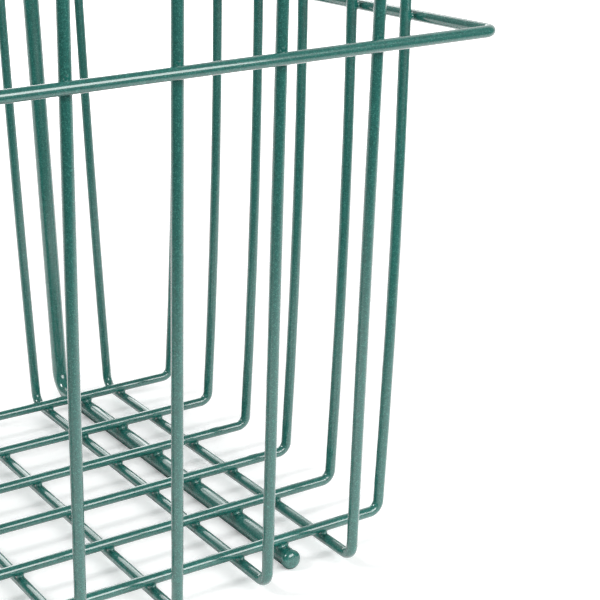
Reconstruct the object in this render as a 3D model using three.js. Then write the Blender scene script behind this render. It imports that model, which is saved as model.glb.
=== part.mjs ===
// Hanging wire storage basket: thin welded steel wires under one coat of green epoxy.
// Crosswise U-wires carry lengthwise U-wires, a middle ring and a heavier top rim tie the
// walls from outside, and two hook rods run under the floor, up the back and over a rail.
// Millimetres, +X along the length, +Y to the back, +Z up, z = 0 where the rods rest.
import * as THREE from "three";

// Wire stock, with the coat
const WIRE_DIAMETER = 3.2;
const ROD_DIAMETER = 5.5;
const RIM_DIAMETER = 5.5;

// Clearance at each welded crossing and at the butt joints that close the ring and the rim
const WELD_GAP = 0.3;

// Floor grid, with a wider bay between the last two lengthwise wires, at the back
const CROSS_WIRE_COUNT = 14;
const CROSS_WIRE_PITCH = 28.2;
const LONG_WIRE_COUNT = 6;
const LONG_WIRE_PITCH = 26.4;
const BACK_BAY = 29.3;

// Reach of the floor past the outermost wires, to the foot of each wall
const END_REACH = 19.4;
const FRONT_REACH = 14.9;
const BACK_REACH = 12.3;

// Heights above the surface that the basket stands on
const BASKET_HEIGHT = 254;
const RING_HEIGHT = 153.6;
const WIRE_END_DEPTH = 0.8;

// Walls: outward lean at the wire ends and outward bow at half height, inward where negative
const FRONT_LEAN = 26.5;
const FRONT_BOW = -0.2;
const END_LEAN = 13.7;
const END_BOW = 2.8;
const BACK_BOW = 2.5;

// Bend radii, on the centre line
const SIDE_BEND = 4.2;
const END_BEND = 3.4;
const RING_BEND = 2.6;
const RIM_BEND = 6;
const ROD_BEND = 7.5;

// Hook rods
const ROD_STUB = 6.3;
const HOOK_RISE = 16;
const HOOK_GAP = 10;
const HOOK_BEND = 5;
const HOOK_TIP = 15;

// Facets
const SECTION_SIDES = 12;
const BEND_STEPS = 5;
const LEG_STEPS = 4;
const QUARTER_TURN = Math.PI / 2;

const COAT = new THREE.MeshStandardMaterial({ color: 0x2a6f63, roughness: 0.35, metalness: 0.3 });

// Levels of the centre lines: rods at the bottom, lengthwise wires on them,
// crosswise wires hung just below the lengthwise ones
const rodLevel = ROD_DIAMETER / 2;
const longLevel = ROD_DIAMETER + WELD_GAP + WIRE_DIAMETER / 2;
const crossLevel = longLevel - WELD_GAP - WIRE_DIAMETER;
const rimLevel = BASKET_HEIGHT - RIM_DIAMETER / 2;
const wireEndLevel = BASKET_HEIGHT - WIRE_END_DEPTH;

// Distance from a wall's wires out to the ring and to the rim, centre line to centre line
const ringOffset = WIRE_DIAMETER + WELD_GAP;
const rimOffset = (WIRE_DIAMETER + RIM_DIAMETER) / 2 + WELD_GAP;

// Points of a round bend in a plane, from one angle to another
function bend(x, y, radius, from, to) {
  return new THREE.EllipseCurve(x, y, radius, radius, from, to, to < from).getPoints(BEND_STEPS);
}

// A wall's side view: out from its foot, up from the level of its floor wires
class Wall {
  constructor(floorLevel, lean, bow, radius) {
    this.floorLevel = floorLevel;
    this.radius = radius;
    this.height = wireEndLevel - floorLevel;
    this.startLean = Math.atan2(lean + 4 * bow, this.height);
    const foot = new THREE.Vector2(0, 0);
    const belly = new THREE.Vector2(lean / 2 + 2 * bow, this.height / 2);
    const top = new THREE.Vector2(lean, this.height);
    this.line = new THREE.QuadraticBezierCurve(foot, belly, top);
  }

  // Share of the wall's height at a level above the ground
  share(level) {
    return (level - this.floorLevel) / this.height;
  }

  // How far the wall stands out from its foot at a level
  outAt(level) {
    return this.line.getPoint(this.share(level)).x;
  }

  // Bend from the floor, then the leg up to the wire end
  stations() {
    const turn = QUARTER_TURN - this.startLean;
    const setback = this.radius * Math.tan(turn / 2);
    const points = bend(-setback, this.radius, this.radius, -QUARTER_TURN, turn - QUARTER_TURN);
    const bendShare = points[BEND_STEPS].y / this.height;
    for (let i = 1; i <= LEG_STEPS; i += 1) {
      points.push(this.line.getPoint(bendShare + ((1 - bendShare) * i) / LEG_STEPS));
    }
    return points;
  }
}

// The back wall leans so far that one upright rod touches both the ring and the rim
function backLean() {
  const height = wireEndLevel - crossLevel;
  const ringShare = (RING_HEIGHT - crossLevel) / height;
  const rimShare = (rimLevel - crossLevel) / height;
  const step = WIRE_DIAMETER - RIM_DIAMETER;
  return step / (rimShare - ringShare) + 4 * BACK_BOW * (rimShare + ringShare - 1);
}

const frontWall = new Wall(crossLevel, FRONT_LEAN, FRONT_BOW, SIDE_BEND);
const backWall = new Wall(crossLevel, backLean(), BACK_BOW, SIDE_BEND);
const endWall = new Wall(longLevel, END_LEAN, END_BOW, END_BEND);

// Plan of the floor, with y = 0 on the front lengthwise wire
const crossSpan = (CROSS_WIRE_COUNT - 1) * CROSS_WIRE_PITCH;
const longSpan = (LONG_WIRE_COUNT - 2) * LONG_WIRE_PITCH + BACK_BAY;
const endFoot = crossSpan / 2 + END_REACH;
const frontFoot = -FRONT_REACH;
const backFoot = longSpan + BACK_REACH;
const rodX = (crossSpan - CROSS_WIRE_PITCH) / 2;
const rodY = backFoot + backWall.outAt(RING_HEIGHT) + ringOffset
  + (WIRE_DIAMETER + ROD_DIAMETER) / 2 + WELD_GAP;
const hookTipY = rodY + HOOK_GAP + ROD_DIAMETER;

// A wire's centre line through given stations, dense in the bends and sparse on the straights
class WireLine extends THREE.Curve {
  constructor(stations) {
    super();
    this.stations = stations;
  }

  getPoint(t, target = new THREE.Vector3()) {
    const last = this.stations.length - 1;
    const place = Math.min(Math.max(t, 0), 1) * last;
    const index = Math.min(Math.floor(place), last - 1);
    return target.lerpVectors(this.stations[index], this.stations[index + 1], place - index);
  }

  // Steps follow the stations instead of the arc length
  getUtoTmapping(u) {
    return u;
  }
}

// Round section with a flat facet on each of its four sides
function section(diameter) {
  const corner = diameter / 2 / Math.cos(Math.PI / SECTION_SIDES);
  const points = [];
  for (let i = 0; i < SECTION_SIDES; i += 1) {
    const angle = ((i + 0.5) * 2 * Math.PI) / SECTION_SIDES;
    points.push(new THREE.Vector2(corner * Math.cos(angle), corner * Math.sin(angle)));
  }
  return new THREE.Shape(points);
}

function wire(name, stations, diameter) {
  const geometry = new THREE.ExtrudeGeometry(section(diameter), {
    steps: stations.length - 1,
    extrudePath: new WireLine(stations),
    bevelEnabled: false,
  });
  const mesh = new THREE.Mesh(geometry, COAT);
  mesh.name = name;
  return mesh;
}

// Crosswise U-wire: front leg, floor, back leg
function crossWire(index) {
  const x = index * CROSS_WIRE_PITCH - crossSpan / 2;
  const front = frontWall.stations().map((p) => new THREE.Vector3(x, frontFoot - p.x, crossLevel + p.y));
  const back = backWall.stations().map((p) => new THREE.Vector3(x, backFoot + p.x, crossLevel + p.y));
  const number = String(index + 1).padStart(2, "0");
  return wire(`cross_wire_${number}`, [...front.reverse(), ...back], WIRE_DIAMETER);
}

// Lengthwise U-wire: left leg, floor, right leg
function longWire(index) {
  const y = index < LONG_WIRE_COUNT - 1 ? index * LONG_WIRE_PITCH : longSpan;
  const profile = endWall.stations();
  const left = profile.map((p) => new THREE.Vector3(-endFoot - p.x, y, longLevel + p.y));
  const right = profile.map((p) => new THREE.Vector3(endFoot + p.x, y, longLevel + p.y));
  return wire(`long_wire_${index + 1}`, [...left.reverse(), ...right], WIRE_DIAMETER);
}

// Closed hoop round the walls at one level, butt-welded at the middle of the back
function hoop(name, level, offset, radius, diameter) {
  const right = endFoot + endWall.outAt(level) + offset;
  const front = frontFoot - frontWall.outAt(level) - offset;
  const back = backFoot + backWall.outAt(level) + offset;
  const plan = [
    new THREE.Vector2(-WELD_GAP / 2, back),
    ...bend(radius - right, back - radius, radius, QUARTER_TURN, 2 * QUARTER_TURN),
    ...bend(radius - right, front + radius, radius, 2 * QUARTER_TURN, 3 * QUARTER_TURN),
    ...bend(right - radius, front + radius, radius, 3 * QUARTER_TURN, 4 * QUARTER_TURN),
    ...bend(right - radius, back - radius, radius, 0, QUARTER_TURN),
    new THREE.Vector2(WELD_GAP / 2, back),
  ];
  return wire(name, plan.map((p) => new THREE.Vector3(p.x, p.y, level)), diameter);
}

// Hook rod: stub at the front, under the floor, up the back, over the rail and down
function hookRod(name, x) {
  const hookBendLevel = BASKET_HEIGHT + HOOK_RISE - HOOK_BEND;
  const side = [
    new THREE.Vector2(-ROD_STUB, rodLevel),
    ...bend(rodY - ROD_BEND, rodLevel + ROD_BEND, ROD_BEND, -QUARTER_TURN, 0),
    ...bend(rodY + HOOK_BEND, hookBendLevel, HOOK_BEND, 2 * QUARTER_TURN, QUARTER_TURN),
    ...bend(hookTipY - HOOK_BEND, hookBendLevel, HOOK_BEND, QUARTER_TURN, 0),
    new THREE.Vector2(hookTipY, hookBendLevel - HOOK_TIP),
  ];
  return wire(name, side.map((p) => new THREE.Vector3(x, p.x, p.y)), ROD_DIAMETER);
}

const basket = new THREE.Group();
for (let i = 0; i < CROSS_WIRE_COUNT; i += 1) {
  basket.add(crossWire(i));
}
for (let i = 0; i < LONG_WIRE_COUNT; i += 1) {
  basket.add(longWire(i));
}
basket.add(hoop("middle_ring", RING_HEIGHT, ringOffset, RING_BEND, WIRE_DIAMETER));
basket.add(hoop("top_rim", rimLevel, rimOffset, RIM_BEND, RIM_DIAMETER));
basket.add(hookRod("hook_rod_left", -rodX));
basket.add(hookRod("hook_rod_right", rodX));

// The origin is under the middle of the whole part, from the rim's front to the hooks' back
const frontFace = frontFoot - frontWall.outAt(rimLevel) - rimOffset - RIM_DIAMETER / 2;
const backFace = hookTipY + ROD_DIAMETER / 2;
basket.position.y = -(frontFace + backFace) / 2;

export default basket;
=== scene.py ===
"""Dressed model of a hanging wire storage basket: welded steel wire under one green epoxy coat.

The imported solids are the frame. Every wire is drawn again as a round, smoothly bent tube with
coated ends, every weld gets the fillet that the coat leaves in its crevice, and the studio
around the basket follows the reference photograph. Lengths are in metres.
"""

import logging
import math
from dataclasses import dataclass, field
from enum import Enum

import bpy
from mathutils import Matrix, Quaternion, Vector


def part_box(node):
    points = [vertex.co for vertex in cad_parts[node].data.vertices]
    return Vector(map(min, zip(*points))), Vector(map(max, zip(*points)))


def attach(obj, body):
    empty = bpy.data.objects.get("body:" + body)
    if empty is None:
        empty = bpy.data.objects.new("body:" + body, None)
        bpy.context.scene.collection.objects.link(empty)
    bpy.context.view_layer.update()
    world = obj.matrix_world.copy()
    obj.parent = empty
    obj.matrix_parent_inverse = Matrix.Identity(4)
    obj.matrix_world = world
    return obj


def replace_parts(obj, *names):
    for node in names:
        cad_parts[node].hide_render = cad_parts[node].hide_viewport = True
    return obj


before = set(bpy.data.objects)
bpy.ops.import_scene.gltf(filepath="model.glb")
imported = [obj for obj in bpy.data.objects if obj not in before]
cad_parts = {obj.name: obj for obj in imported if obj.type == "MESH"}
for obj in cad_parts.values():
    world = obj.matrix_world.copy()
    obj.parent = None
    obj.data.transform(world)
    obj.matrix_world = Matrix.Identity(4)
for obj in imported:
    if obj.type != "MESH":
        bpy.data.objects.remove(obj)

LOG = logging.getLogger("basket")
MM = 0.001
BODY = "root"

WEST, EAST = Vector((-1, 0, 0)), Vector((1, 0, 0))
FORE, AFT = Vector((0, -1, 0)), Vector((0, 1, 0))
UP = Vector((0, 0, 1))
WHITE = (1, 1, 1, 1)

Colour = tuple[float, float, float]
Place = tuple[float, float, float]
Span = tuple[float, float]


class Weld(Enum):
    """How heavy the two wires of a weld are: the inner or lower one, then the other."""

    THIN_THIN = "thin_thin"
    THIN_HEAVY = "thin_heavy"
    HEAVY_THIN = "heavy_thin"
    HEAVY_HEAVY = "heavy_heavy"


@dataclass(frozen=True)
class NodeTree:
    """Short calls for filling a node tree."""

    tree: bpy.types.NodeTree

    def add(self, kind: str, **settings: object) -> bpy.types.Node:
        """Add a node.

        Args:
            kind: the node's type name.
            settings: properties to set on it.

        Returns:
            The new node.
        """
        node = self.tree.nodes.new(kind)
        for key, value in settings.items():
            setattr(node, key, value)
        return node

    def link(self, source: bpy.types.NodeSocket, target: bpy.types.NodeSocket) -> None:
        """Join an output to an input."""
        self.tree.links.new(source, target)

    def attribute(self, name: str, data_type: str = "FLOAT") -> bpy.types.NodeSocket:
        """Read a named attribute.

        Args:
            name: the attribute's name.
            data_type: its type.

        Returns:
            The socket that gives its value.
        """
        node = self.add("GeometryNodeInputNamedAttribute", data_type=data_type)
        node.inputs["Name"].default_value = name
        return node.outputs["Attribute"]

    def math(
        self, operation: str, first: bpy.types.NodeSocket, second: bpy.types.NodeSocket
    ) -> bpy.types.NodeSocket:
        """Join two values by one operation.

        Args:
            operation: the operation's name.
            first: the first value.
            second: the second value.

        Returns:
            The socket with the result.
        """
        node = self.add("ShaderNodeMath", operation=operation)
        self.link(first, node.inputs[0])
        self.link(second, node.inputs[1])
        return node.outputs[0]

    def ramp(
        self,
        value: bpy.types.NodeSocket,
        start: float,
        end: float,
        low: float = 0.0,
        high: float = 1.0,
    ) -> bpy.types.NodeSocket:
        """Turn a value into a smooth step.

        Args:
            value: the value to follow.
            start: where the step begins.
            end: where the step ends.
            low: the result at the start.
            high: the result at the end.

        Returns:
            The socket with the result.
        """
        node = self.add("ShaderNodeMapRange", interpolation_type="SMOOTHSTEP")
        for key, number in zip(("From Min", "From Max", "To Min", "To Max"), (start, end, low, high)):
            node.inputs[key].default_value = number
        self.link(value, node.inputs["Value"])
        return node.outputs["Result"]

    def blend(
        self, share: bpy.types.NodeSocket, first: Colour | bpy.types.NodeSocket, second: Colour
    ) -> bpy.types.NodeSocket:
        """Mix two colours.

        Args:
            share: how much there is of the second colour.
            first: the first colour, or the socket that gives it.
            second: the second colour.

        Returns:
            The socket with the mixed colour.
        """
        node = self.add("ShaderNodeMix", data_type="RGBA")
        if isinstance(first, bpy.types.NodeSocket):
            self.link(first, node.inputs[6])
        else:
            node.inputs[6].default_value = (*first, 1)
        node.inputs[7].default_value = (*second, 1)
        self.link(share, node.inputs["Factor"])
        return node.outputs[2]

    def noise(
        self, place: bpy.types.NodeSocket, size: float, detail: float
    ) -> bpy.types.NodeSocket:
        """Add soft noise.

        Args:
            place: the coordinates that it follows.
            size: the width of its patches.
            detail: how many finer layers it has.

        Returns:
            The socket with its value.
        """
        node = self.add("ShaderNodeTexNoise")
        node.inputs["Scale"].default_value = 1 / size
        node.inputs["Detail"].default_value = detail
        self.link(place, node.inputs["Vector"])
        return node.outputs["Fac"]


@dataclass(frozen=True)
class EpoxyCoat:
    """Glossy hunter-green epoxy: pale flakes, dark gaps between them and a faint orange peel."""

    name: str = "green_epoxy_coat"
    deep: Colour = (0.010, 0.121, 0.100)
    pale: Colour = (0.014, 0.147, 0.121)
    fleck: Colour = (0.045, 0.24, 0.20)
    gap: Colour = (0.006, 0.080, 0.067)
    roughness: float = 0.25
    specular: float = 0.6
    gloss_roughness: float = 0.06
    gloss_weight: float = 1.0
    cloud_size: float = 14 * MM
    cloud_detail: float = 3
    fleck_size: float = 0.21 * MM
    fleck_share: float = 0.30
    gap_share: float = 0.32
    peel_size: float = 1.1 * MM
    peel_detail: float = 1
    peel_depth: float = 0.012 * MM

    def material(self) -> bpy.types.Material:
        """Build the coat's material.

        Returns:
            The material, with colour, fleck and bump from its nodes.
        """
        material = bpy.data.materials.new(self.name)
        material.use_nodes = True
        nodes = NodeTree(material.node_tree)
        shader = material.node_tree.nodes["Principled BSDF"]
        place = nodes.add("ShaderNodeTexCoord").outputs["Object"]
        nodes.link(self._tone(nodes, place), shader.inputs["Base Color"])
        nodes.link(self._peel(nodes, place), shader.inputs["Normal"])
        shader.inputs["Roughness"].default_value = self.roughness
        shader.inputs["Specular IOR Level"].default_value = self.specular
        shader.inputs["Coat Weight"].default_value = self.gloss_weight
        shader.inputs["Coat Roughness"].default_value = self.gloss_roughness
        return material

    def _tone(self, nodes: NodeTree, place: bpy.types.NodeSocket) -> bpy.types.NodeSocket:
        """Colour the coat: a clouded green with pale flakes and dark gaps.

        Args:
            nodes: the tree to add to.
            place: the coordinates on the piece.

        Returns:
            The socket with the colour.
        """
        tone = nodes.blend(nodes.noise(place, self.cloud_size, self.cloud_detail), self.deep, self.pale)
        cells = nodes.add("ShaderNodeTexVoronoi")
        cells.inputs["Scale"].default_value = 1 / self.fleck_size
        nodes.link(place, cells.inputs["Vector"])
        lottery = nodes.add("ShaderNodeSeparateColor")
        nodes.link(cells.outputs["Color"], lottery.inputs["Color"])
        spots = (("Red", self.fleck_share, self.fleck), ("Green", self.gap_share, self.gap))
        for draw, share, colour in spots:
            tone = nodes.blend(nodes.ramp(lottery.outputs[draw], 1 - share, 1), tone, colour)
        return tone

    def _peel(self, nodes: NodeTree, place: bpy.types.NodeSocket) -> bpy.types.NodeSocket:
        """Raise the coat's orange peel.

        Args:
            nodes: the tree to add to.
            place: the coordinates on the piece.

        Returns:
            The socket with the bumped normal.
        """
        bump = nodes.add("ShaderNodeBump")
        bump.inputs["Strength"].default_value = 1
        bump.inputs["Distance"].default_value = self.peel_depth
        nodes.link(nodes.noise(place, self.peel_size, self.peel_detail), bump.inputs["Height"])
        return bump.outputs["Normal"]


def new_group(name: str, inputs: dict[str, str], output: str) -> bpy.types.NodeTree:
    """Start a geometry node group.

    Args:
        name: the group's name.
        inputs: each input's name and the kind of its socket.
        output: the name of its one output.

    Returns:
        The group, still without nodes.
    """
    tree = bpy.data.node_groups.new(name, "GeometryNodeTree")
    for key, kind in inputs.items():
        tree.interface.new_socket(key, in_out="INPUT", socket_type=f"NodeSocket{kind}")
    tree.interface.new_socket(output, in_out="OUTPUT", socket_type="NodeSocketGeometry")
    return tree


@dataclass(frozen=True)
class Station:
    """One point of a wire's centre line, with the bend there and the wire's relative girth."""

    at: Vector
    bend: float = 0.0
    girth: float = 1.0


@dataclass
class WireStock:
    """One size of coated wire and the node tree that draws it along a line."""

    diameter: float
    end_dome: float
    coat: bpy.types.Material
    sides: int = 28
    bend_steps: int = 12
    end_steps: int = 6
    end_fullness: float = 0.8
    end_bead: float = 0.06
    end_neck: float = 1.6 * MM
    tree: bpy.types.NodeTree = field(init=False)

    def __post_init__(self) -> None:
        """Build the node tree once for the stock."""
        self.tree = self._build_tree()

    @property
    def radius(self) -> float:
        """Half the wire's diameter."""
        return self.diameter / 2

    def _build_tree(self) -> bpy.types.NodeTree:
        """Build the tree: line to curve, bends rounded, tube drawn, coat set.

        Returns:
            The finished node tree.
        """
        inputs = {
            "Line": "Geometry",
            "Radius": "Float",
            "Sides": "Int",
            "Bend Steps": "Int",
            "Coat": "Material",
        }
        tree = new_group("coated_wire", inputs, "Wire")
        nodes = NodeTree(tree)
        given = nodes.add("NodeGroupInput").outputs
        line = nodes.add("GeometryNodeMeshToCurve")
        nodes.link(given["Line"], line.inputs["Mesh"])
        fillet = nodes.add("GeometryNodeFilletCurve", mode="POLY")
        nodes.link(line.outputs["Curve"], fillet.inputs["Curve"])
        nodes.link(given["Bend Steps"], fillet.inputs["Count"])
        nodes.link(nodes.attribute("bend"), fillet.inputs["Radius"])
        ring = nodes.add("GeometryNodeCurvePrimitiveCircle")
        nodes.link(given["Sides"], ring.inputs["Resolution"])
        nodes.link(given["Radius"], ring.inputs["Radius"])
        tube = nodes.add("GeometryNodeCurveToMesh")
        tube.inputs["Fill Caps"].default_value = True
        nodes.link(fillet.outputs["Curve"], tube.inputs["Curve"])
        nodes.link(ring.outputs["Curve"], tube.inputs["Profile Curve"])
        nodes.link(nodes.attribute("girth"), tube.inputs["Scale"])
        smooth = nodes.add("GeometryNodeSetShadeSmooth")
        nodes.link(tube.outputs["Mesh"], smooth.inputs["Geometry"])
        real = nodes.add("GeometryNodeRealizeInstances")
        nodes.link(smooth.outputs["Geometry"], real.inputs["Geometry"])
        coated = nodes.add("GeometryNodeSetMaterial")
        nodes.link(real.outputs["Geometry"], coated.inputs["Geometry"])
        nodes.link(given["Coat"], coated.inputs["Material"])
        nodes.link(coated.outputs["Geometry"], nodes.add("NodeGroupOutput").inputs["Wire"])
        return tree

    def rounded_ends(self, stations: list[Station]) -> list[Station]:
        """Give an open line the coat's round edge at both ends.

        Args:
            stations: the line, end to end.

        Returns:
            The line with short, thinning steps at its ends.
        """
        head = self._round_end(stations[0].at, stations[1].at)
        tail = self._round_end(stations[-1].at, stations[-2].at)
        return [*head, *stations[1:-1], *reversed(tail)]

    def _round_end(self, end: Vector, inward: Vector) -> list[Station]:
        """Steps from a wire's end, with the bead that the coat leaves there, to its own girth.

        Args:
            end: the end of the centre line.
            inward: the next point of the line.

        Returns:
            Stations from the end inwards.
        """
        along = (inward - end).normalized()
        steps = []
        for i in range(1, self.end_steps + 1):
            turn = math.pi / 2 * i / self.end_steps
            girth = (1 + self.end_bead) * math.sin(turn) ** self.end_fullness
            steps.append(Station(end + along * (self.end_dome * (1 - math.cos(turn))), girth=girth))
        for i in range(1, self.end_steps + 1):
            share = i / self.end_steps
            girth = 1 + self.end_bead * (1 + math.cos(math.pi * share)) / 2
            steps.append(Station(end + along * (self.end_dome + self.end_neck * share), girth=girth))
        return steps

    def draw(self, name: str, stations: list[Station], closed: bool = False) -> bpy.types.Object:
        """Draw a wire through its stations as a plain mesh piece.

        Args:
            name: the piece's name.
            stations: the centre line.
            closed: whether the line's end joins its start.

        Returns:
            The piece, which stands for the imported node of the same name.
        """
        count = len(stations)
        edges = [(i, i + 1) for i in range(count - 1)] + ([(count - 1, 0)] if closed else [])
        line = bpy.data.meshes.new(name)
        line.from_pydata([s.at for s in stations], edges, [])
        for key in ("bend", "girth"):
            values = line.attributes.new(key, "FLOAT", "POINT").data
            values.foreach_set("value", [getattr(s, key) for s in stations])
        inputs = {
            "Radius": self.radius,
            "Sides": self.sides,
            "Bend Steps": self.bend_steps,
            "Coat": self.coat,
        }
        piece = grow(name, line, self.tree, inputs)
        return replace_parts(piece, name.removesuffix("_coated"))


def grow(
    name: str,
    seed: bpy.types.Mesh,
    tree: bpy.types.NodeTree,
    inputs: dict[str, object],
) -> bpy.types.Object:
    """Run a node tree on a mesh and keep the result as a plain piece of the basket.

    Args:
        name: the piece's name.
        seed: the mesh that the tree starts from.
        tree: the geometry node tree.
        inputs: values of the tree's named inputs.

    Returns:
        The piece, at the origin, riding on the basket's body.
    """
    piece = bpy.data.objects.new(name, seed)
    bpy.context.scene.collection.objects.link(piece)
    modifier = piece.modifiers.new("grow", "NODES")
    modifier.node_group = tree
    for socket in tree.interface.items_tree:
        if socket.in_out == "INPUT" and socket.name in inputs:
            modifier[socket.identifier] = inputs[socket.name]
    evaluated = piece.evaluated_get(bpy.context.evaluated_depsgraph_get())
    mesh = bpy.data.meshes.new_from_object(evaluated)
    mesh.name = name
    piece.modifiers.remove(modifier)
    piece.data = mesh
    bpy.data.meshes.remove(seed)
    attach(piece, BODY)
    LOG.info("%s: %d faces", name, len(mesh.polygons))
    return piece


@dataclass(frozen=True)
class WallProfile:
    """Side view of a wall's wires: the floor's reach to its foot, then lean, bow and bend."""

    reach: float
    lean: float
    bow: float
    bend: float
    steps: int = 9

    def out_at(self, share: float) -> float:
        """How far the wall stands out from its foot at a share of its height."""
        return self.lean * share + 4 * self.bow * share * (1 - share)

    def leg(self, foot: Vector, outward: Vector, height: float) -> list[Station]:
        """Stations from the foot's bend up to the wire's end.

        Args:
            foot: where the floor's line meets the wall's line.
            outward: the direction that the wall leans to.
            height: from the floor wires' level to the wire ends.

        Returns:
            Stations from the foot upwards.
        """
        stations = [Station(foot, bend=self.bend)]
        for i in range(1, self.steps + 1):
            share = i / self.steps
            stations.append(Station(foot + outward * self.out_at(share) + UP * (height * share)))
        return stations


@dataclass
class Basket:
    """The basket's own sizes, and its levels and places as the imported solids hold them."""

    thin: WireStock
    heavy: WireStock

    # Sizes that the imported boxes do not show
    weld_gap: float = 0.3 * MM
    cross_count: int = 14
    long_count: int = 6
    front: WallProfile = WallProfile(reach=14.9 * MM, lean=26.5 * MM, bow=-0.2 * MM, bend=4.2 * MM)
    back: WallProfile = WallProfile(reach=12.3 * MM, lean=0.055 * MM, bow=2.5 * MM, bend=4.2 * MM)
    end: WallProfile = WallProfile(reach=19.4 * MM, lean=13.7 * MM, bow=2.8 * MM, bend=3.4 * MM)
    wire_end_depth: float = 0.8 * MM
    ring_bend: float = 2.6 * MM
    rim_bend: float = 6 * MM
    rod_bend: float = 7.5 * MM
    hook_bend: float = 5 * MM
    hook_drop: float = 20 * MM
    butt_swell: float = 0.12
    butt_length: float = 5 * MM
    butt_steps: int = 2

    # Places and levels of the centre lines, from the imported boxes
    cross_x: list[float] = field(init=False)
    long_y: list[float] = field(init=False)
    rod_x: list[float] = field(init=False)
    cross_level: float = field(init=False)
    long_level: float = field(init=False)
    ring_level: float = field(init=False)
    rim_level: float = field(init=False)
    wire_end: float = field(init=False)
    front_foot: float = field(init=False)
    back_foot: float = field(init=False)
    end_foot: float = field(init=False)

    def __post_init__(self) -> None:
        """Read the places that everything else lines up with."""
        self.cross_x = [self._middle(self.cross_name(i)).x for i in range(self.cross_count)]
        self.long_y = [self._middle(self.long_name(i)).y for i in range(self.long_count)]
        self.rod_x = [self._middle(f"hook_rod_{side}").x for side in ("left", "right")]
        self.cross_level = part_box(self.cross_name(0))[0].z + self.thin.radius
        self.long_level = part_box(self.long_name(0))[0].z + self.thin.radius
        self.ring_level = self._middle("middle_ring").z
        self.rim_level = self._middle("top_rim").z
        self.wire_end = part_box("top_rim")[1].z - self.wire_end_depth
        self.front_foot = self.long_y[0] - self.front.reach
        self.back_foot = self.long_y[-1] + self.back.reach
        self.end_foot = self.cross_x[-1] + self.end.reach

    @property
    def ring_back(self) -> float:
        """Place across the basket of the ring's back face, which the upright rods touch."""
        return self.wall_y(self.back, self.ring_level) + 3 * self.thin.radius + self.weld_gap

    @staticmethod
    def _middle(node: str) -> Vector:
        """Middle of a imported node's box."""
        low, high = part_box(node)
        return (low + high) / 2

    @staticmethod
    def cross_name(index: int) -> str:
        """Name of a crosswise wire, counted from the left."""
        return f"cross_wire_{index + 1:02d}"

    @staticmethod
    def long_name(index: int) -> str:
        """Name of a lengthwise wire, counted from the front."""
        return f"long_wire_{index + 1}"

    def wall_y(self, wall: WallProfile, level: float) -> float:
        """Find the wires of the front or back wall at a level.

        Args:
            wall: the front or the back wall.
            level: the height above the ground.

        Returns:
            Their place across the basket.
        """
        share = (level - self.cross_level) / (self.wire_end - self.cross_level)
        out = wall.out_at(share)
        return self.front_foot - out if wall is self.front else self.back_foot + out

    def wall_x(self, level: float) -> float:
        """Place along the basket of the right end's wires at a level."""
        share = (level - self.long_level) / (self.wire_end - self.long_level)
        return self.end_foot + self.end.out_at(share)


@dataclass
class WireGrid:
    """The crosswise and lengthwise U-wires that make the floor and the walls."""

    basket: Basket

    def build(self) -> None:
        """Draw every U-wire of the grid."""
        for i, x in enumerate(self.basket.cross_x):
            self._cross(i, x)
        for i, y in enumerate(self.basket.long_y):
            self._long(i, y)

    def _cross(self, index: int, x: float) -> None:
        """Draw one crosswise wire: front leg, floor, back leg.

        Args:
            index: its number from the left.
            x: its place along the basket.
        """
        b = self.basket
        height = b.wire_end - b.cross_level
        front = b.front.leg(Vector((x, b.front_foot, b.cross_level)), FORE, height)
        back = b.back.leg(Vector((x, b.back_foot, b.cross_level)), AFT, height)
        stations = b.thin.rounded_ends([*reversed(front), *back])
        b.thin.draw(f"{b.cross_name(index)}_coated", stations)

    def _long(self, index: int, y: float) -> None:
        """Draw one lengthwise wire: left leg, floor, right leg.

        Args:
            index: its number from the front.
            y: its place across the basket.
        """
        b = self.basket
        height = b.wire_end - b.long_level
        left = b.end.leg(Vector((-b.end_foot, y, b.long_level)), WEST, height)
        right = b.end.leg(Vector((b.end_foot, y, b.long_level)), EAST, height)
        stations = b.thin.rounded_ends([*reversed(left), *right])
        b.thin.draw(f"{b.long_name(index)}_coated", stations)


@dataclass
class Hoops:
    """The middle ring and the top rim, each closed by a butt weld at the middle of the back."""

    basket: Basket

    def build(self) -> None:
        """Draw both hoops."""
        self._hoop("middle_ring", self.basket.thin, self.basket.ring_bend)
        self._hoop("top_rim", self.basket.heavy, self.basket.rim_bend)

    def _hoop(self, node: str, stock: WireStock, bend: float) -> None:
        """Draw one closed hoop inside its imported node's box.

        Args:
            node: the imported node.
            stock: the wire that it is bent from.
            bend: the corner's radius on the centre line.
        """
        low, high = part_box(node)
        level = (low.z + high.z) / 2
        left, front = low.x + stock.radius, low.y + stock.radius
        right, back = high.x - stock.radius, high.y - stock.radius
        corners = [(left, back), (left, front), (right, front), (right, back)]
        stations = [Station(Vector((x, y, level)), bend=bend) for x, y in corners]
        b = self.basket
        for step in range(b.butt_steps, -b.butt_steps - 1, -1):
            share = step / b.butt_steps
            swell = 1 + b.butt_swell * math.cos(math.pi / 2 * share) ** 2
            stations.append(Station(Vector((b.butt_length / 2 * share, back, level)), girth=swell))
        stock.draw(f"{node}_coated", stations, closed=True)


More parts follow.
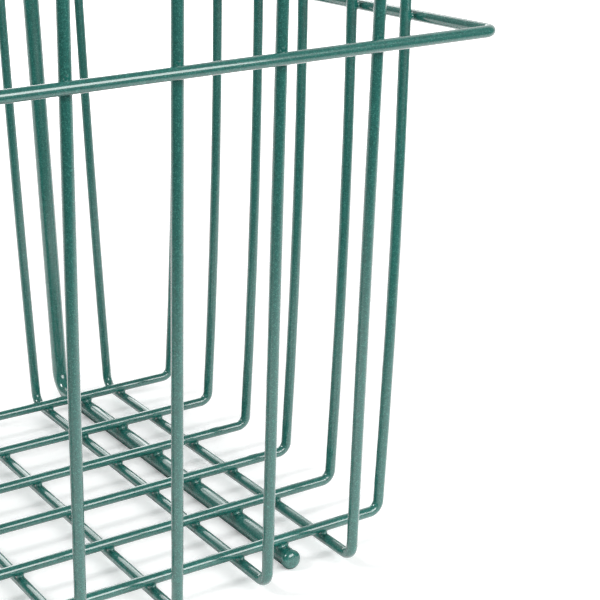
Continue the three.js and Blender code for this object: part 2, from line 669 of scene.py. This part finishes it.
@dataclass
class HookRods:
    """The heavy rods under the floor and up the back, bent over into hooks."""

    basket: Basket

    def build(self) -> None:
        """Draw the left and the right rod."""
        for side in ("left", "right"):
            self._rod(f"hook_rod_{side}")

    def _rod(self, node: str) -> None:
        """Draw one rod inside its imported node's box.

        Args:
            node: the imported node.
        """
        b = self.basket
        radius = b.heavy.radius
        low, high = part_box(node)
        x = (low.x + high.x) / 2
        upright = b.ring_back + b.weld_gap + radius
        floor, seat = low.z + radius, high.z - radius
        tip_y = high.y - radius
        tip_z = seat - b.hook_drop
        route = [
            Station(Vector((x, low.y, floor))),
            Station(Vector((x, upright, floor)), bend=b.rod_bend),
            Station(Vector((x, upright, seat)), bend=b.hook_bend),
            Station(Vector((x, tip_y, seat)), bend=b.hook_bend),
            Station(Vector((x, tip_y, tip_z))),
        ]
        b.heavy.draw(f"{node}_coated", b.heavy.rounded_ends(route))


@dataclass(frozen=True)
class Joint:
    """One weld: where two wires meet, the way from the first to the second, and the first's run."""

    at: Vector
    normal: Vector
    along: Vector


@dataclass
class Welds:
    """The coat's fillets in the crevice of every weld."""

    basket: Basket
    coat: bpy.types.Material

    # The skin ends short of the other wire's sides, so its reach past them is negative
    along_reach: float = -0.20 * MM
    side_turn: float = math.radians(44)
    sink: float = 0.04 * MM
    waist: float = 0.84
    rounds: int = 16
    steps: int = 4
    size_spread: float = 0.10
    seed: int = 11

    def build(self) -> None:
        """Grow the fillets, grouped by what they join."""
        tree = self._build_tree()
        for name, kind, joints in self._groups():
            self._grow_group(name, kind, joints, tree)

    def _groups(self) -> list[tuple[str, Weld, list[Joint]]]:
        """List every weld of the basket.

        Returns:
            Groups of welds, each with a name and the kind of its wires.
        """
        b = self.basket
        half = b.weld_gap / 2
        floor = b.long_level - b.thin.radius - half
        grid = [Joint(Vector((x, y, floor)), UP, AFT) for x in b.cross_x for y in b.long_y]
        under = [Joint(Vector((x, y, floor)), UP, AFT) for x in b.rod_x for y in b.long_y]
        # The upright rods are straight, so they meet the ring and the rim at one depth
        touch = b.ring_back + half
        ring = [Joint(Vector((x, touch, b.ring_level)), AFT, EAST) for x in b.rod_x]
        rim = [Joint(Vector((x, touch, b.rim_level)), AFT, EAST) for x in b.rod_x]
        return [
            ("floor_welds", Weld.THIN_THIN, grid),
            ("rod_floor_welds", Weld.HEAVY_THIN, under),
            ("ring_welds", Weld.THIN_THIN, self._hoop_joints(b.ring_level)),
            ("rim_welds", Weld.THIN_HEAVY, self._hoop_joints(b.rim_level)),
            ("ring_rod_welds", Weld.THIN_HEAVY, ring),
            ("rim_rod_welds", Weld.HEAVY_HEAVY, rim),
        ]

    def _hoop_joints(self, level: float) -> list[Joint]:
        """Welds between a hoop and the wall wires inside it.

        Args:
            level: the hoop's level.

        Returns:
            One weld for each wire that the hoop passes.
        """
        b = self.basket
        off = b.thin.radius + b.weld_gap / 2
        joints = []
        for x in b.cross_x:
            joints.append(Joint(Vector((x, b.wall_y(b.front, level) - off, level)), FORE, UP))
            joints.append(Joint(Vector((x, b.wall_y(b.back, level) + off, level)), AFT, UP))
        for y in b.long_y:
            joints.append(Joint(Vector((-b.wall_x(level) - off, y, level)), WEST, UP))
            joints.append(Joint(Vector((b.wall_x(level) + off, y, level)), EAST, UP))
        return joints

    def _fillet(self, kind: Weld) -> bpy.types.Object:
        """Make one fillet: a concave skin from the first wire's surface to the second's.

        Args:
            kind: how heavy the two wires are.

        Returns:
            A ring-shaped skin round the origin, with the first wire below it along X.
        """
        b = self.basket
        heavy, thin = b.heavy.radius, b.thin.radius
        first = heavy if kind in (Weld.HEAVY_THIN, Weld.HEAVY_HEAVY) else thin
        second = heavy if kind in (Weld.THIN_HEAVY, Weld.HEAVY_HEAVY) else thin
        half = b.weld_gap / 2
        points = []
        for i in range(self.rounds):
            turn = 2 * math.pi * i / self.rounds
            c, s = math.cos(turn), math.sin(turn)
            low_x, low_y = c * (second + self.along_reach), s * first * math.sin(self.side_turn)
            low_z = math.sqrt(first**2 - low_y**2) - first - half - self.sink
            top_x, top_y = c * second * math.sin(self.side_turn), s * (first + self.along_reach)
            top_z = second + half - math.sqrt(second**2 - top_x**2) + self.sink
            low, top = Vector((low_x, low_y, low_z)), Vector((top_x, top_y, top_z))
            waist_x = top_x * abs(c) + low_x * (1 - abs(c))
            waist_y = low_y * abs(s) + top_y * (1 - abs(s))
            waist = Vector((waist_x, waist_y, 0)) * self.waist
            for k in range(self.steps + 1):
                t = k / self.steps
                points.append(low * (1 - t) ** 2 + waist * (2 * t * (1 - t)) + top * t**2)
        rows = self.steps + 1
        faces = []
        for i in range(self.rounds):
            here, after = i * rows, (i + 1) % self.rounds * rows
            for k in range(self.steps):
                faces.append((here + k, after + k, after + k + 1, here + k + 1))
        mesh = bpy.data.meshes.new(kind.value)
        mesh.from_pydata(points, [], faces)
        return bpy.data.objects.new(kind.value, mesh)

    def _build_tree(self) -> bpy.types.NodeTree:
        """Build the tree that sets a fillet on every weld.

        Returns:
            The finished node tree.
        """
        inputs = {
            "Welds": "Geometry",
            "Fillet": "Object",
            "Smallest": "Float",
            "Largest": "Float",
            "Seed": "Int",
            "Coat": "Material",
        }
        tree = new_group("weld_fillets", inputs, "Fillets")
        nodes = NodeTree(tree)
        given = nodes.add("NodeGroupInput").outputs
        fillet = nodes.add("GeometryNodeObjectInfo")
        nodes.link(given["Fillet"], fillet.inputs["Object"])
        stand = nodes.add("FunctionNodeAlignRotationToVector", axis="Z")
        nodes.link(nodes.attribute("normal_way", "FLOAT_VECTOR"), stand.inputs["Vector"])
        turn = nodes.add("FunctionNodeAlignRotationToVector", axis="X", pivot_axis="Z")
        nodes.link(stand.outputs["Rotation"], turn.inputs["Rotation"])
        nodes.link(nodes.attribute("along_way", "FLOAT_VECTOR"), turn.inputs["Vector"])
        spread = nodes.add("FunctionNodeRandomValue", data_type="FLOAT_VECTOR")
        nodes.link(given["Smallest"], spread.inputs["Min"])
        nodes.link(given["Largest"], spread.inputs["Max"])
        nodes.link(given["Seed"], spread.inputs["Seed"])
        placed = nodes.add("GeometryNodeInstanceOnPoints")
        nodes.link(given["Welds"], placed.inputs["Points"])
        nodes.link(fillet.outputs["Geometry"], placed.inputs["Instance"])
        nodes.link(turn.outputs["Rotation"], placed.inputs["Rotation"])
        nodes.link(spread.outputs[0], placed.inputs["Scale"])
        real = nodes.add("GeometryNodeRealizeInstances")
        nodes.link(placed.outputs["Instances"], real.inputs["Geometry"])
        smooth = nodes.add("GeometryNodeSetShadeSmooth")
        nodes.link(real.outputs["Geometry"], smooth.inputs["Geometry"])
        coated = nodes.add("GeometryNodeSetMaterial")
        nodes.link(smooth.outputs["Geometry"], coated.inputs["Geometry"])
        nodes.link(given["Coat"], coated.inputs["Material"])
        nodes.link(coated.outputs["Geometry"], nodes.add("NodeGroupOutput").inputs["Fillets"])
        return tree

    def _grow_group(
        self, name: str, kind: Weld, joints: list[Joint], tree: bpy.types.NodeTree
    ) -> None:
        """Grow the fillets of one group of welds as one piece.

        Args:
            name: the piece's name.
            kind: how heavy the wires are.
            joints: the welds.
            tree: the tree that sets the fillets.
        """
        fillet = self._fillet(kind)
        bpy.context.scene.collection.objects.link(fillet)
        seed = bpy.data.meshes.new(name)
        seed.from_pydata([j.at for j in joints], [], [])
        for key, ways in (
            ("normal_way", [j.normal for j in joints]),
            ("along_way", [j.along for j in joints]),
        ):
            values = seed.attributes.new(key, "FLOAT_VECTOR", "POINT").data
            values.foreach_set("vector", [c for way in ways for c in way])
        inputs = {
            "Fillet": fillet,
            "Smallest": 1.0,
            "Largest": 1.0 + self.size_spread,
            "Seed": self.seed,
            "Coat": self.coat,
        }
        grow(name, seed, tree, inputs)
        template = fillet.data
        bpy.data.objects.remove(fillet)
        bpy.data.meshes.remove(template)


@dataclass(frozen=True)
class Lamp:
    """A soft rectangular lamp that faces a point on the basket."""

    name: str
    place: Place
    size: tuple[float, float]
    power: float
    target: Place = (0.08, 0.0, 0.08)

    def build(self) -> None:
        """Hang the lamp and turn it to its target."""
        light = bpy.data.lights.new(self.name, "AREA")
        light.shape = "RECTANGLE"
        light.size, light.size_y = self.size
        light.energy = self.power
        lamp = bpy.data.objects.new(self.name, light)
        lamp.location = self.place
        way = Vector(self.target) - Vector(self.place)
        lamp.rotation_euler = way.to_track_quat("-Z", "Y").to_euler()
        lamp.visible_camera = False
        bpy.context.scene.collection.objects.link(lamp)


@dataclass(frozen=True)
class PhotoCamera:
    """The photograph's view of the basket's right front corner, close and from above.

    Its angles are in degrees.
    """

    place: Place = (-41.34 * MM, -420.6 * MM, 220.77 * MM)
    azimuth: float = -31.498
    elevation: float = 18.729
    roll: float = -1.479
    focal_pixels: float = 1591.063
    frame_pixels: float = 600
    sensor: float = 36
    clip: Span = (0.01, 50)

    def build(self) -> None:
        """Set up the scene's camera."""
        data = bpy.data.cameras.new("photo_camera")
        data.sensor_width = self.sensor
        data.lens = self.sensor * self.focal_pixels / self.frame_pixels
        data.clip_start, data.clip_end = self.clip
        camera = bpy.data.objects.new("photo_camera", data)
        a, e = math.radians(self.azimuth), math.radians(self.elevation)
        back = Vector((math.sin(a) * math.cos(e), -math.cos(a) * math.cos(e), math.sin(e)))
        level = (-back).to_track_quat("-Z", "Y")
        camera.location = self.place
        camera.rotation_mode = "QUATERNION"
        camera.rotation_quaternion = level @ Quaternion((0, 0, 1), math.radians(self.roll))
        bpy.context.scene.collection.objects.link(camera)
        bpy.context.scene.camera = camera


@dataclass(frozen=True)
class Studio:
    """White paper that runs back from the basket, a pale backdrop, a dim room and soft lamps."""

    # Floor: paper under and behind the basket, dark beyond its edges, paler again far in front
    floor_half: float = 8.0
    floor_roughness: float = 0.9
    paper: Colour = (0.88, 0.88, 0.88)
    paper_turn: float = math.radians(45)
    paper_side: Span = (-0.26, -0.02)
    paper_front: Span = (-0.40, -0.13)
    beyond: Colour = (0.12, 0.12, 0.12)
    far: Colour = (0.40, 0.40, 0.40)
    far_front: Span = (-0.85, -0.55)

    # Lift to white: little close to the basket, where its shadow shows
    paper_lift: float = 0.30
    shadow_reach: Span = (0.35, 0.85)
    beyond_lift: float = 0.97
    mirrored_lift: float = 0.50

    # Contact shade in the mirrored floor
    contact_reach: float = 0.03
    contact_from: tuple[float, float, float] = (0.8, -0.3, 0.5)
    contact_open: Span = (0.40, 0.90)
    contact_samples: int = 4

    # Room, backdrop and lamps
    room: float = 0.27
    backdrop: float = 1.0
    backdrop_rise: Span = (0.25, 0.55)
    backdrop_side: Span = (-0.25, 0.25)
    backdrop_slant: float = 0.8
    lamps: tuple[Lamp, ...] = (
        Lamp("key", place=(0.38, -1.25, 0.70), size=(1.04, 0.72), power=17.0),
        Lamp("back", place=(0.30, 1.20, 0.52), size=(1.00, 0.72), power=6.0),
        Lamp("left", place=(-1.02, 0.46, 1.21), size=(0.45, 0.45), power=12.0),
    )

    def build(self) -> None:
        """Lay the floor, light it and set how the picture is shown."""
        self._floor()
        self._world()
        for lamp in self.lamps:
            lamp.build()
        bpy.context.scene.view_settings.view_transform = "Standard"

    def _floor(self) -> None:
        """Lay the floor: paper near and behind the basket, shown white, with its shadow kept."""
        h = self.floor_half
        mesh = bpy.data.meshes.new("floor")
        mesh.from_pydata([(-h, -h, 0), (h, -h, 0), (h, h, 0), (-h, h, 0)], [], [(0, 1, 2, 3)])
        floor = bpy.data.objects.new("floor", mesh)
        bpy.context.scene.collection.objects.link(floor)
        material = bpy.data.materials.new("white_paper")
        material.use_nodes = True
        nodes = NodeTree(material.node_tree)
        shader = material.node_tree.nodes["Principled BSDF"]
        near = nodes.math(
            "MULTIPLY",
            self._edge(nodes, 0, self.paper_front),
            self._edge(nodes, self.paper_turn, self.paper_side),
        )
        lit = nodes.math("MULTIPLY", near, self._contact(nodes))
        colour = nodes.blend(lit, self._surround(nodes), self.paper)
        nodes.link(colour, shader.inputs["Base Color"])
        nodes.link(self._lift(nodes, near, lit), shader.inputs["Emission Strength"])
        shader.inputs["Emission Color"].default_value = WHITE
        shader.inputs["Roughness"].default_value = self.floor_roughness
        shader.inputs["Specular IOR Level"].default_value = 0
        mesh.materials.append(material)

    @staticmethod
    def _edge(nodes: NodeTree, turn: float, edge: Span) -> bpy.types.NodeSocket:
        """Fade the floor in across a straight edge.

        Args:
            nodes: the tree to add to.
            turn: the edge's turn from the basket's front, to the left.
            edge: where the fade begins and where it is full, measured back from the middle.

        Returns:
            The socket with the share, nought in front of the edge and one behind it.
        """
        turned = nodes.add("ShaderNodeMapping")
        turned.inputs["Rotation"].default_value = (0, 0, turn)
        nodes.link(nodes.add("ShaderNodeTexCoord").outputs["Object"], turned.inputs["Vector"])
        parts = nodes.add("ShaderNodeSeparateXYZ")
        nodes.link(turned.outputs["Vector"], parts.inputs["Vector"])
        return nodes.ramp(parts.outputs["Y"], *edge)

    def _surround(self, nodes: NodeTree) -> bpy.types.NodeSocket:
        """Colour the floor beyond the paper: dark close by, paler far in front.

        Args:
            nodes: the tree to add to.

        Returns:
            The socket with the colour.
        """
        return nodes.blend(self._edge(nodes, 0, self.far_front), self.far, self.beyond)

    @staticmethod
    def _mirrored(nodes: NodeTree) -> bpy.types.NodeSocket:
        """Tell whether the floor is seen in gloss or through glass."""
        path = nodes.add("ShaderNodeLightPath").outputs
        return nodes.math("MAXIMUM", path["Is Glossy Ray"], path["Is Transmission Ray"])

    def _contact(self, nodes: NodeTree) -> bpy.types.NodeSocket:
        """Shade the mirrored floor close to a wire, on the side away from the right front.

        Args:
            nodes: the tree to add to.

        Returns:
            The socket with the open share, one wherever the eye meets the floor itself.
        """
        way = nodes.add("ShaderNodeCombineXYZ")
        for key, number in zip("XYZ", self.contact_from):
            way.inputs[key].default_value = number
        shade = nodes.add("ShaderNodeAmbientOcclusion", samples=self.contact_samples)
        shade.inputs["Distance"].default_value = self.contact_reach
        nodes.link(way.outputs["Vector"], shade.inputs["Normal"])
        shut = nodes.ramp(shade.outputs["AO"], *self.contact_open, 1, 0)
        return nodes.ramp(nodes.math("MULTIPLY", shut, self._mirrored(nodes)), 0, 1, 1, 0)

    def _lift(
        self, nodes: NodeTree, near: bpy.types.NodeSocket, lit: bpy.types.NodeSocket
    ) -> bpy.types.NodeSocket:
        """Lift the floor to white: to the eye everywhere, in gloss and glass near the basket.

        Args:
            nodes: the tree to add to.
            near: one on the paper, nought beyond it.
            lit: the same, with the contact shade.

        Returns:
            The socket with the strength of the lift.
        """
        eye_ray = nodes.add("ShaderNodeLightPath").outputs["Is Camera Ray"]
        away = nodes.add("ShaderNodeVectorMath", operation="LENGTH")
        nodes.link(nodes.add("ShaderNodeTexCoord").outputs["Object"], away.inputs[0])
        close = nodes.ramp(away.outputs["Value"], *self.shadow_reach, 1, 0)
        shadowed = nodes.math("MULTIPLY", near, close)
        eye = nodes.ramp(shadowed, 0, 1, self.beyond_lift, self.paper_lift)
        gloss = nodes.ramp(lit, 0, 1, 0, self.mirrored_lift)
        return nodes.math(
            "MAXIMUM",
            nodes.math("MULTIPLY", eye_ray, eye),
            nodes.math("MULTIPLY", self._mirrored(nodes), gloss),
        )

    def _world(self) -> None:
        """Light the room: a white backdrop low behind the basket, dim everywhere else."""
        world = bpy.data.worlds.new("studio")
        bpy.context.scene.world = world
        world.use_nodes = True
        nodes = NodeTree(world.node_tree)
        background = world.node_tree.nodes["Background"]
        parts = nodes.add("ShaderNodeSeparateXYZ")
        nodes.link(nodes.add("ShaderNodeTexCoord").outputs["Generated"], parts.inputs["Vector"])
        slant = nodes.add("ShaderNodeMath", operation="MULTIPLY_ADD")
        slant.inputs[1].default_value = -self.backdrop_slant
        nodes.link(parts.outputs["X"], slant.inputs[0])
        nodes.link(parts.outputs["Z"], slant.inputs[2])
        low = nodes.ramp(slant.outputs[0], *self.backdrop_rise, 1, 0)
        behind = nodes.ramp(parts.outputs["Y"], *self.backdrop_side)
        pale = nodes.math("MULTIPLY", low, behind)
        seen = nodes.add("ShaderNodeLightPath").outputs["Is Camera Ray"]
        strength = nodes.ramp(nodes.math("MAXIMUM", pale, seen), 0, 1, self.room, self.backdrop)
        nodes.link(strength, background.inputs["Strength"])
        background.inputs["Color"].default_value = WHITE


def main() -> None:
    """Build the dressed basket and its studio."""
    logging.basicConfig(level=logging.INFO, format="%(name)s: %(message)s")
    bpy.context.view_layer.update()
    coat = EpoxyCoat().material()
    basket = Basket(
        thin=WireStock(diameter=3.2 * MM, end_dome=0.8 * MM, coat=coat),
        heavy=WireStock(diameter=5.5 * MM, end_dome=1.6 * MM, coat=coat),
    )
    WireGrid(basket).build()
    Hoops(basket).build()
    HookRods(basket).build()
    Welds(basket, coat).build()
    PhotoCamera().build()
    Studio().build()


if __name__ == "__main__":
    main()
